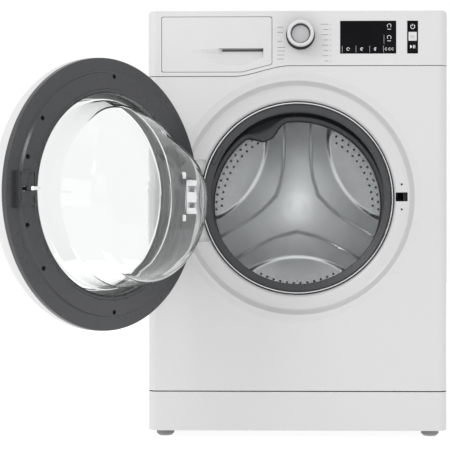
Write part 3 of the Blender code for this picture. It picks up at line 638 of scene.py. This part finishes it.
def make_marks():
    """Plain printed bars where the programme names stand, with no lettering."""
    bars = []
    left, right, height = -40, 61, 1.1

    def bar(start, end, z):
        bars.append(box(start, end, FASCIA_FRONT - 0.12, FASCIA_FRONT + 0.3, z, z + height))

    for i, z in enumerate((787, 775, 768, 760, 752, 815, 805)):
        bar(left, left + 9 + (i * 7) % 8, z)
    for i in range(8):
        z = 748 + i * 10.4
        bar(right - (7 + (i * 5) % 9), right, z)
        bar(right + 3, right + 5, z)
    piece("programme_marks", merged(*bars), "dark_plastic", finish="ink")


def ring_mark(x, z, outer, inner, low, high, start=0.0, end=360.0):
    """A flat ring, or the part of it between two angles in degrees."""
    steps = 28
    if end - start >= 360:
        return turned([(inner, low), (outer, low), (outer, high), (inner, high)], (x, z), steps)
    outline = arc((x, z), outer, start, end, steps) + arc((x, z), inner, end, start, steps)
    return prism(outline, low, high)


def make_display():
    """The dark window and its plain rings and bars, with no digits or words."""
    left, right, bottom, top = DISPLAY
    gap = 0.3
    front = FASCIA_FRONT - 0.6
    piece("display_window", rounded_box(left + gap, right - gap, bottom + gap, top - gap, 0.8,
                                        front, 3), "black_gloss", bevel=0.3)
    marks = []
    low, high = front - 0.02, front + 0.2
    touch_row = bottom + 9.0
    for i in range(4):
        x = left + 4 + i * 27.2
        marks.append(box(x, x + 0.35, low, high, touch_row - 6.5, touch_row + 6.5))
    for i, x in enumerate((left + 16, left + 43, left + 70)):
        marks.append(ring_mark(x, touch_row, 3.2, 2.3, low, high, 30 * i, 30 * i + 300 - 40 * i))
        if i:
            marks.append(box(x - 0.5, x + 0.5, low, high, touch_row - 1.8, touch_row + 1.8))
    for x in (left + 91, left + 98, left + 104):
        marks.append(ring_mark(x, touch_row, 2.5, 1.8, low, high, 40, 320))
    marks.append(box(left + 86.6, left + 86.9, low, high, bottom + 19, bottom + 37))
    for z in (top - 10, top - 33):
        marks.append(ring_mark(left + 97, z, 4.2, 3.4, low, high, -50, 230))
        marks.append(box(left + 93.5, left + 100.5, low, high, z - 7.4, z - 6.5))
    piece("display_icons", merged(*marks), "white_plastic", finish="icon_white")


def make_keys():
    """The key surround, then each key with its mark, from the lowest up."""
    left, right, bottom, top = KEYS
    gap = 0.3
    well = rounded_box(left + 2, right - 2, KEY_SPLITS[0], KEY_SPLITS[3], 0.6, -20, 20)
    piece("key_surround", rounded_box(left + gap, right - gap, bottom + gap, top - gap, 0.8,
                                      FASCIA_FRONT - 0.4, 5), "black_gloss",
          cut=(well,), bevel=0.25)
    bodies = ("start_key", "steam_key", "power_key")
    nodes = ("start_pause_button", "steam_button", "power_button")
    middle = (left + right) / 2
    for body, node, low, high in zip(bodies, nodes, KEY_SPLITS, KEY_SPLITS[1:]):
        bright = body == "steam_key"
        slot = "white_plastic" if bright else "black_gloss"
        z = (low + high) / 2
        piece(node, rounded_box(left + 2.5, right - 2.5, low + 0.5, high - 0.5, 1.2, -2.6, 7),
              slot, body, bevel=0.9, segments=3)
        front, back = -2.63, -2.3
        if body == "power_key":
            mark = [ring_mark(middle, z, 4.6, 3.6, front, back, 120, 420),
                    box(middle - 0.5, middle + 0.5, front, back, z + 1.2, z + 5.4)]
        elif bright:
            mark = [box(middle - 4 + 3 * i, middle - 3 + 3 * i, front, back, z - 1.5, z + 2.2)
                    for i in range(3)] + [box(middle - 5, middle + 4, front, back, z - 3.8,
                                              z - 3)]
        else:
            mark = [prism([(middle - 5, z - 3.5), (middle - 0.4, z), (middle - 5, z + 3.5)],
                          front, back), box(middle + 1, middle + 2.2, front, back, z - 3.2,
                                            z + 3.2),
                    box(middle + 3.6, middle + 4.8, front, back, z - 3.2, z + 3.2)]
        piece(f"{body}_mark", merged(*mark), "white_plastic", body,
              finish="ink" if bright else "icon_white")


def make_knob():
    """The knob: a dark tapered skirt darkened further to near-black as painted shade for its shaded underside and
    recess wall, a white ring and a recessed cap.
    """
    front = -34.0
    skirt = eased([(0, -2.5), (28.2, -2.5), (28.6, -5), (27.9, -10), (25.8, front + 5),
                   (20.4, front + 4.6), (19.4, front + 15), (0, front + 16)],
                  [0, 0.8, 1, 3, 1, 0.4, 1, 0], 4)
    shaft = [(4.5, -2.4), (4.5, 20), (0, 20), (0, -2.4)]
    piece("knob_skirt", merged(turned(skirt[::-1], KNOB), turned(shaft, KNOB, 32)), "chrome",
          "selector", finish="knob_painted_shade")
    ring = eased([(26.6, front + 5.4), (26.4, front + 3.2), (24.2, front), (20.4, front + 0.6),
                  (19.0, front + 5.0), (21.6, front + 6.4)], [0.5, 2, 2.2, 1.2, 0.5, 0.5], 5,
                 closed=True)
    piece("selector_knob", turned(ring, KNOB), "chrome", "selector", finish="white_plastic")
    cap = eased([(0, front + 11.4), (16.4, front + 12), (19.0, front + 12.8), (19.0, front + 14.6),
                 (0, front + 15)], [0, 3, 0.4, 0, 0], 5)
    piece("knob_cap", turned(cap, KNOB), "chrome", "selector", finish="knob_face")


GRIP_LEFT, GRIP_RIGHT, GRIP_LOW, GRIP_HIGH = -150.0, -67.6, 742.0, 774.4


def grip_scoop():
    """The hollow of the drawer's grip: it deepens upwards to the slot and runs out leftwards."""
    tail, deepest, bow, open_front = -222.0, 12.5, 0.65, 12
    columns, rows = 90, 40
    points, faces = [], []
    for i in range(columns + 1):
        x = tail + (GRIP_RIGHT - tail) * i / columns
        base = 740.5 + 15.5 * smoothstep(x, -118, -62) + 12 * smoothstep(-x, 118, 222)
        reach = deepest * smoothstep(x, tail, GRIP_LEFT + 6)
        overhang = smoothstep(x, GRIP_LEFT - 8, GRIP_LEFT + 1)
        for k in range(rows + 1):
            part = k / rows
            z = base + (GRIP_HIGH - base) * part
            closing = 1 - (1 - overhang) * smoothstep(part, 0.5, 1.0)
            points.append((x, FASCIA_FRONT - 0.3 + reach * part ** bow * closing, z))
    count, step = len(points), rows + 1
    points += [(x, FASCIA_FRONT - open_front, z) for x, _, z in points]
    for i in range(columns):
        for k in range(rows):
            a = i * step + k
            quad = (a, a + step, a + step + 1, a + 1)
            faces += [quad, tuple(count + n for n in quad[::-1])]
    rim = ([i * step for i in range(columns + 1)]
           + [columns * step + k for k in range(1, rows + 1)]
           + [i * step + rows for i in range(columns - 1, -1, -1)]
           + list(range(rows - 1, 0, -1)))
    for a, b in zip(rim, rim[1:] + rim[:1]):
        faces.append((a, b, count + b, count + a))
    return points, faces


def make_drawer():
    left, right, low, high = GRIP_LEFT, GRIP_RIGHT, GRIP_LOW, GRIP_HIGH
    backing = box(left - 42, right + 4, 2, 17, low - 3, high + 6)
    slot = box(left, right - 0.5, -8, 15.5, high - 5.4, high - 0.4)
    drawer = place_mesh("drawer_front", prism(drawer_outline(1.0), FASCIA_FRONT, 5.5))
    combine(drawer, [backing], "UNION")
    combine(drawer, [grip_scoop(), slot])
    soften(drawer, 0.6, 3, angle=48)
    dress(drawer, "white_plastic", "detergent_drawer", angle=40)
    # A dark strip at the back of the grip slot: painted shade standing in for the slot's shaded hollow.
    shade_strip = box(left + 0.2, right - 0.7, 14.0, 15.2, high - 5.2, high - 0.6)
    piece("grip_painted_shade_strip", shade_strip, "dark_plastic", "detergent_drawer", finish="slot_painted_shade_plastic",
          bevel=0.3)


# Door

def make_door_ring():
    """The white outer ring, with two slots for the hinge bracket's arms."""
    shell = eased([(243.5, -12.6), (243.5, -27), (239, -39), (228, -47), (206, -50.5),
                   (182, -47.5), (172, -42), (172, -39.8), (183, -44.6), (206, -47.6),
                   (226, -44.3), (236, -37.3), (241, -26), (241, -12.6)],
                  [0.4, 12, 16, 20, 26, 16, 0.8, 0.8, 14, 24, 18, 14, 10, 0.4], 6, closed=True)
    slots = [rounded_box(-262, -231, OPENING_Z + low, OPENING_Z + low + 13, 2, -45, -8)
             for low in (9.5, -22.5)]
    piece("door_outer_ring", turned(shell, PORTHOLE, FINE_ROUND), "white_plastic", "door",
          cut=slots, bevel=0.4, angle=40)


def make_door_frame():
    """The dark inner frame, with its latch block, screw holes and room for the hinge leaf."""
    inner = eased([(243, -3.2), (219.4, -2.6), (218.2, -1.6), (215.8, 3.6), (203, 4.4),
                   (188.5, 5.2), (187.2, 4.4), (183.5, 4.8), (179.6, 2.4), (179.6, -8),
                   (182, -8), (184, 1.8), (214, 0.6), (217, -6), (240, -6.4), (240, -12),
                   (243, -12)],
                  [2.0, 0.8, 0.8, 0.9, 2, 0.5, 0.5, 2.5, 1.5, 0.3, 0.3, 1, 1, 1, 0.6, 0.3, 0.3], 5,
                  closed=True)
    block = rounded_box(189, 224, OPENING_Z - 27, OPENING_Z + 35, 1.6, -4, 8)
    bosses = [box(205, 216, -20, 2, LATCH_Z + low, LATCH_Z + low + 4) for low in (6, -10)]
    mounts = [turned([(0, -8.6), (0, 3), (4, 3), (4, -8.6)], (-203.5, OPENING_Z + z), 24)
              for z in (42, -42)]
    hook_way = rounded_box(201, 218, LATCH_Z - 4, LATCH_Z + 4, 1.0, -30, 20)
    low, high = OPENING_Z - 24.5, OPENING_Z + 32.5
    panel_lines = [box(left, right, 6.0, 20, low, high)
                   for left, right in ((191.5, 192.7), (220.3, 221.5))]
    panel_lines += [box(192.1, 220.9, 6.1, 20, z, z + 1.2) for z in (low + 0.2, high - 1.4)]
    leaf_way = box(-262, -199, -30, 20, OPENING_Z - LEAF_HALF - 1, OPENING_Z + LEAF_HALF + 1)
    post_ways = [box(-198, -186, -30, 20, OPENING_Z + low, OPENING_Z + low + 13.5)
                 for low in (LEAF_HALF + 1.5, -LEAF_END)]
    holes, heads = [], []
    screw_circle = 210
    for angle in (90, 36, 16, -15, -37, -90):
        spot = polar(PORTHOLE, screw_circle, angle)
        holes.append(turned([(0, 1.6), (3.9, 1.6), (4.2, 3.4), (5.2, 20), (0, 20)], spot, 28))
        heads.append(turned(eased([(0, 1.65), (3.5, 1.65), (3.2, 2.8), (0.8, 3.1), (0, 2.5)],
                                  0.3, 2), spot, 20))
    piece("door_inner_frame", turned(inner, PORTHOLE, FINE_ROUND), "dark_plastic", "door",
          add=(block, *bosses, *mounts),
          cut=(hook_way, leaf_way, *post_ways, *holes, *panel_lines), bevel=0.35, angle=32)
    piece("door_screws", merged(*heads), "galvanised_steel", "door", finish="black_gloss")


def make_door_glass():
    """The glass bowl, whose upper part slopes, and the flat outer window."""
    blend, bowl_ways = 7.0, 160

    def slope(glass):
        """Drops the bowl a little and lays its upper part back onto a plane."""
        def bend(r, y, angle):
            drop = -8.0 * smoothstep(y, -8, 70)
            over = y + glass - BOWL_SLOPE_START + BOWL_SLOPE * (r * math.sin(angle) + drop)
            if over > blend:
                y -= over
            elif over > -blend:
                y -= (over + blend) ** 2 / (4 * blend)
            return r, y, drop
        return bend

    outside = eased([(186, -10), (169.5, -9.5), (166.5, -2), (160.5, 35), (146, 92), (129, 114),
                     (90, 118.8), (45, 121), (0, 122)], [0.8, 3, 8, 30, 24, 26, 0, 0, 0], 8)
    inside = eased([(0, 118), (45, 117), (90, 114.8), (126, 110.3), (141.5, 90.5), (156.5, 34.5),
                    (163, -6), (165.5, -13.5), (186, -13.5)],
                   [0, 0, 0, 24, 22, 30, 8, 3, 0.8], 8)
    outer = turned(outside, PORTHOLE, bowl_ways, whole=False, change=slope(0.0))
    inner = turned(inside, PORTHOLE, bowl_ways, whole=False, change=slope(4.6))
    rims = turned([(186, -13.5), (186, -10)], PORTHOLE, bowl_ways, whole=False)
    piece("door_glass_bowl", merged(outer, inner, rims), "clear_glass", "door", angle=50)
    window = eased([(0, -49), (110, -47.4), (169, -41.8), (171, -39.4), (181, -39.4),
                    (181, -36.6), (168, -36.6), (110, -45), (0, -46.5)],
                   [0, 60, 3, 0.5, 0.5, 0.5, 3, 60, 0], 6)
    piece("door_outer_window", turned(window, PORTHOLE, bowl_ways), "clear_window", "door",
          angle=50)


# Porthole gasket

def make_gasket():
    """The bellows from the dish to the tub, its wire clamp and the pad at the upper left."""
    inner = [(192.6, 28), (188.8, 26.6), (186.6, 30), (174, 36.2), (173, 40), (176, 42.5),
             (190, 38.5), (203, 55), (207.3, 92), (205, 104.5), (190, 106), (184.5, 101),
             (181, 98.6), (174.5, 100), (171.5, 105), (172.5, 121)]
    outer = [(178.5, 122.5), (180, 111), (182, 109), (207, 107.6), (210, 92), (207, 54),
             (192.6, 40)]
    profile = eased(inner + outer, [1, 1.5, 2, 2, 2, 2, 4, 10, 8, 4, 4, 3, 3, 3, 3, 2,
                                    2, 2, 1, 3, 8, 10, 1], 5, closed=True)

    def bend(r, y, angle):
        """Leads the bellows down to the drum's axis and adds the lobe at the upper left."""
        rise = (DRUM_Z - OPENING_Z) * min(max((y - 45) / 60, 0), 1)
        turn = math.degrees(angle)
        lobe = smoothstep(turn, 97, 112) * (1 - smoothstep(turn, 117, 129))
        near_lip = smoothstep(y, 92, 102) * (1 - smoothstep(r, 178, 186))
        return r - 25 * lobe * near_lip, y - 3 * lobe * near_lip, rise

    piece("door_gasket", turned(profile, PORTHOLE, FINE_ROUND, change=bend), "grey_rubber",
          angle=60)
    wire = [(190.6 + 1.3 * math.cos(a), 26.4 + 1.3 * math.sin(a))
            for a in (2 * math.pi * i / 10 for i in range(10))]
    piece("gasket_wire_clamp", turned(wire, PORTHOLE, 160), "galvanised_steel",
          finish="bearing_steel")
    pad = (arc(PORTHOLE, 187.0, 147, 158, 8) + arc(PORTHOLE, 178.5, 158, 147, 8))
    piece("gasket_nozzle_pad", prism(pad, 26.6, 34.5), "grey_rubber", bevel=1.2, segments=3)


# Drum

def drum_rise(x, z):
    """How far the pressed back of the drum stands towards the door at a point, in mm."""
    half_width, flare, pad_circle, pad_radius = 31.0, 22, 331, 216
    radius = math.hypot(x, z)

    # Three arms that widen towards the hub
    arm = 0.0
    for angle in ARMS:
        ux, uz = polar((0, 0), 1, angle)
        ahead, aside = x * ux + z * uz, abs(-x * uz + z * ux)
        if ahead < 0:
            continue
        width = half_width + flare * math.exp(-(ahead / 60) ** 2)
        crown = 1.3 - 0.3 * (aside / width) ** 2
        arm = max(arm, crown * (1 - smoothstep(aside, width - 3, width + 5)))
    arm += 1.6 * smoothstep(radius, 60, 210) * min(arm, 1.0)

    # Between them three round-edged pads, and then the dished floor with its hub
    pad = 0.0
    for angle in PADS:
        cx, cz = polar((0, 0), pad_circle, angle)
        inside = pad_radius - math.hypot(x - cx, z - cz)
        turn = (math.degrees(math.atan2(z, x)) - angle + 180) % 360 - 180
        ends = 1 - smoothstep(abs(turn), 35, 40)
        rise = 1.2 + 4.5 * smoothstep(radius, 120, 225)
        pad = max(pad, rise * smoothstep(inside, -1, 5) * ends)
    floor = 9.0 - 5.0 * smoothstep(radius, 60, 190)
    hub = 9.0 * math.exp(-(radius / 66) ** 2) + 0.3 * (1 - smoothstep(radius, 15, 23))
    return floor + max(arm, pad) + hub


def make_drum():
    """The pressed and pierced back, the perforated wall and the three lifters."""
    rings, ways, outer = 84, 384, 236.5
    points, faces = [(0.0, DRUM_BACK - drum_rise(0, 0), DRUM_Z)], []
    for ring in range(1, rings + 1):
        radius = outer * ring / rings
        for i in range(ways):
            angle = 2 * math.pi * i / ways
            x, z = radius * math.cos(angle), radius * math.sin(angle)
            points.append((x, DRUM_BACK - drum_rise(x, z), DRUM_Z + z))
    for i in range(ways):
        faces.append((0, 1 + i, 1 + (i + 1) % ways))
        for ring in range(rings - 1):
            a, b = 1 + ring * ways + i, 1 + ring * ways + (i + 1) % ways
            faces.append((a, b, b + ways, a + ways))
    holes = []
    hole_step, hole_radius = 5.2, 2.8
    for pad in PADS:
        for radius, count in ((192.0, 13), (179.0, 12)):
            for k in range(count):
                turn = pad + (k - (count - 1) / 2) * hole_step
                holes.append(turned([(0, 425), (hole_radius, 425), (hole_radius, 460),
                                     (0, 460)], polar(DRUM_AXIS, radius, turn), 12))
    back = place_mesh("drum_back", (points, faces))
    if sum(face.normal.y * face.area for face in back.data.polygons) > 0:
        back.data.flip_normals()
    thicken(back, 1.0)
    combine(back, holes)
    dress(back, "stainless_steel", "drum", angle=50)

    piece("drum_shell", perforated_drum(), "stainless_steel", "drum",
          finish="polished_steel", thick=0.9, angle=40)
    for number, middle in enumerate(ARMS):
        piece(f"drum_lifter_{number + 1}", lifter(middle), "drawer_plastic", "drum",
              finish="lifter_plastic", angle=50)


def perforated_drum():
    """The drum's wall as one sheet: rolled front ring, then cells that each hold a hole."""
    radius, hole_radius, sides = 239.6, 2.3, 8
    around, rows = 66, 17
    start, end = 141.0, 440.0
    points, faces = [], []
    cell_depth = (end - start) / rows
    cell_turn = 2 * math.pi / around
    index = {}

    def corner(turn, depth):
        key = (round(turn / cell_turn * 16) % (around * 16), round(depth * 100))
        if key not in index:
            index[key] = len(points)
            points.append((radius * math.cos(turn), depth, DRUM_Z + radius * math.sin(turn)))
        return index[key]

    for row in range(rows):
        for i in range(around):
            middle, depth = (i + 0.5) * cell_turn, start + (row + 0.5) * cell_depth
            frame_ring = [corner(middle + a * cell_turn / 2, depth + b * cell_depth / 2)
                          for a, b in ((1, 0), (1, 1), (0, 1), (-1, 1), (-1, 0), (-1, -1),
                                       (0, -1), (1, -1))]
            under_lifter = min(abs((math.degrees(middle) - arm + 180) % 360 - 180)
                               for arm in ARMS) < 8
            if under_lifter or row % 4 == 3 and i % 2:
                faces.append(tuple(frame_ring))
                continue
            hole = []
            for k in range(sides):
                a = 2 * math.pi * k / sides
                turn = middle + hole_radius * math.cos(a) / radius
                hole.append(len(points))
                points.append((radius * math.cos(turn), depth + hole_radius * math.sin(a),
                               DRUM_Z + radius * math.sin(turn)))
            for k in range(sides):
                after = (k + 1) % sides
                faces.append((frame_ring[k], frame_ring[after], hole[after], hole[k]))
    count = around * 2
    front = eased([(188, 129), (189, 127.3), (230, 127.3), (radius, 137), (radius, start)],
                  [0, 1, 8, 6, 0], 5)
    more, links = turned(front, DRUM_AXIS, count, whole=False)
    tail, tail_links = turned([(radius, end), (radius, 452.0)], DRUM_AXIS, count, whole=False)
    return merged((points, faces), (more, links), (tail, tail_links))


def lifter(middle):
    """A rib across the drum: a rounded ridge that slopes down to the wall at both ends."""
    lean = math.radians(middle)
    out = Vector((math.cos(lean), 0, math.sin(lean)))
    side = Vector((-math.sin(lean), 0, math.cos(lean)))
    foot, top = 237.5, 199.0
    start, length, steps, ways = 150, 275, 28, 18
    points, faces = [], []
    for depth in (start + length * i / steps for i in range(steps + 1)):
        ends = smoothstep(depth, 149, 185) * (1 - smoothstep(depth, 390, 426))
        height = (foot - top) * (0.12 + 0.88 * ends)
        half = 15 + 7 * ends
        for k in range(ways + 1):
            part = -1 + 2 * k / ways
            rise = height * (1 - abs(part) ** 2.2) ** 0.9
            low = foot - (half * part) ** 2 / 480
            spot = out * (low - rise) + side * (half * part)
            points.append((spot.x, depth, DRUM_Z + spot.z))
    step = ways + 1
    for i in range(steps):
        for k in range(ways):
            a = i * step + k
            faces.append((a, a + 1, a + step + 1, a + step))
        faces.append((i * step, (i + 1) * step, (i + 1) * step + ways, i * step + ways))
    last = steps * step
    faces.append(tuple(range(step)))
    faces.append(tuple(range(last, last + step)))
    return points, faces


# Hinge and latch

def make_hinge():
    """The hinge leaf: a plate with a barrel on the door's edge and two bright posts."""
    barrel = arc(HINGE, 7.5, 55, -235, 28)
    section = ([(-240, -1), (-207, -1), (-207, -9), (-190, -9), (-190, -12), (-210, -12),
                (-210, -3.5), (-220, -3.5)] + barrel + [(-229.5, -3.5), (-240, -3.5)])
    arm_ways = [box(-262, -210.6, -50, 5, OPENING_Z + z, OPENING_Z + z + 11)
                for z in (10.5, -21.5)]
    pin_hole = turned([(0, -60), (0, 60), (4.5, 60), (4.5, -60)], (0, 0), 32)
    pin_way = along(pin_hole, (*HINGE, OPENING_Z), (0, 0, 1))
    back = box(-207.5, -186.5, -11.8, -9.2, OPENING_Z - LEAF_END, OPENING_Z + LEAF_END)
    posts = [box(-197.5, -187.0, -11.0, 5.0, OPENING_Z + low, OPENING_Z + low + 12.2)
             for low in (LEAF_HALF + 2, -LEAF_END + 0.5)]
    notches = [box(-243, -235.2, -3.2, 2, OPENING_Z + z, OPENING_Z + z + 7.4)
               for z in (-26.5, -11.2, 3.8, 19.1)]
    # The leaf's plated steel is a near-white non-metal: a painted reflection for its brightness.
    piece("hinge_leaf", prism(section, OPENING_Z - LEAF_HALF, OPENING_Z + LEAF_HALF, "Z"),
          "chrome", "door", finish="plated_steel", add=(back, *posts),
          cut=(*arm_ways, pin_way, *notches), bevel=0.5)


# Back and sides

def screw(x, z, depth):
    """A pan-head screw seen from behind the machine."""
    radius = 4.0
    head = eased([(0, depth + 0.36 * radius), (0.55 * radius, depth + 0.33 * radius),
                  (radius, depth + 0.1 * radius), (radius, depth - 0.2), (0, depth - 0.2)],
                 [0, 0.5, 0.4, 0, 0], 3)
    return turned(head, (x, z), 20)


def make_back():
    """Screws, pressed ribs and vent louvres on the back panel and its cover."""
    spots = [(x, z) for x in (-178, 178) for z in (245, 360, 475, 590, 705)]
    spots += [(x, z) for z in (245, 705) for x in (-60, 60)]
    piece("cover_screws", merged(*[screw(x, z, 572.4) for x, z in spots]), "galvanised_steel")
    edge = [(x, z) for x in (-284, 284) for z in (90, 250, 420, 590, 760, 815)]
    piece("rear_panel_screws", merged(*[screw(x, z, 570.1) for x, z in edge]),
          "galvanised_steel")
    beads = [rounded_box(-120, 120, z - 7, z + 7, 6.5, 577.5, 579.4)
             for z in (300 + 87.5 * i for i in range(5))]
    piece("cover_ribs", merged(*beads), "galvanised_steel", bevel=0.9, segments=3)
    louvres = []
    for side in (-1, 1):
        for i in range(9):
            z = 640 + 13 * i
            louvres.append(rounded_box(side * 235 - 24, side * 235 + 24, z, z + 5, 2.4, 569.6,
                                       572.2))
    piece("rear_vents", merged(*louvres), "galvanised_steel", bevel=0.8)


# CAD nodes

def finish_nodes():
    """Gives every CAD node the procedural finish of its slot, for those that stay in view."""
    slots = {part["node"]: part["material_slot"] for part in frame["record"]["subparts"]}
    for name, made in frame["nodes"].items():
        made.data.materials.clear()
        made.data.materials.append(FINISHES[slots[name]])


FINISHES = {name: surface(name, *values, **settings)
            for name, (values, settings) in FINISH_TABLE.items()}
make_stage()
finish_nodes()
make_cabinet()
make_fascia()
make_marks()
make_display()
make_keys()
make_knob()
make_drawer()
make_door_ring()
make_door_frame()
make_door_glass()
make_gasket()
make_drum()
make_hinge()
make_back()
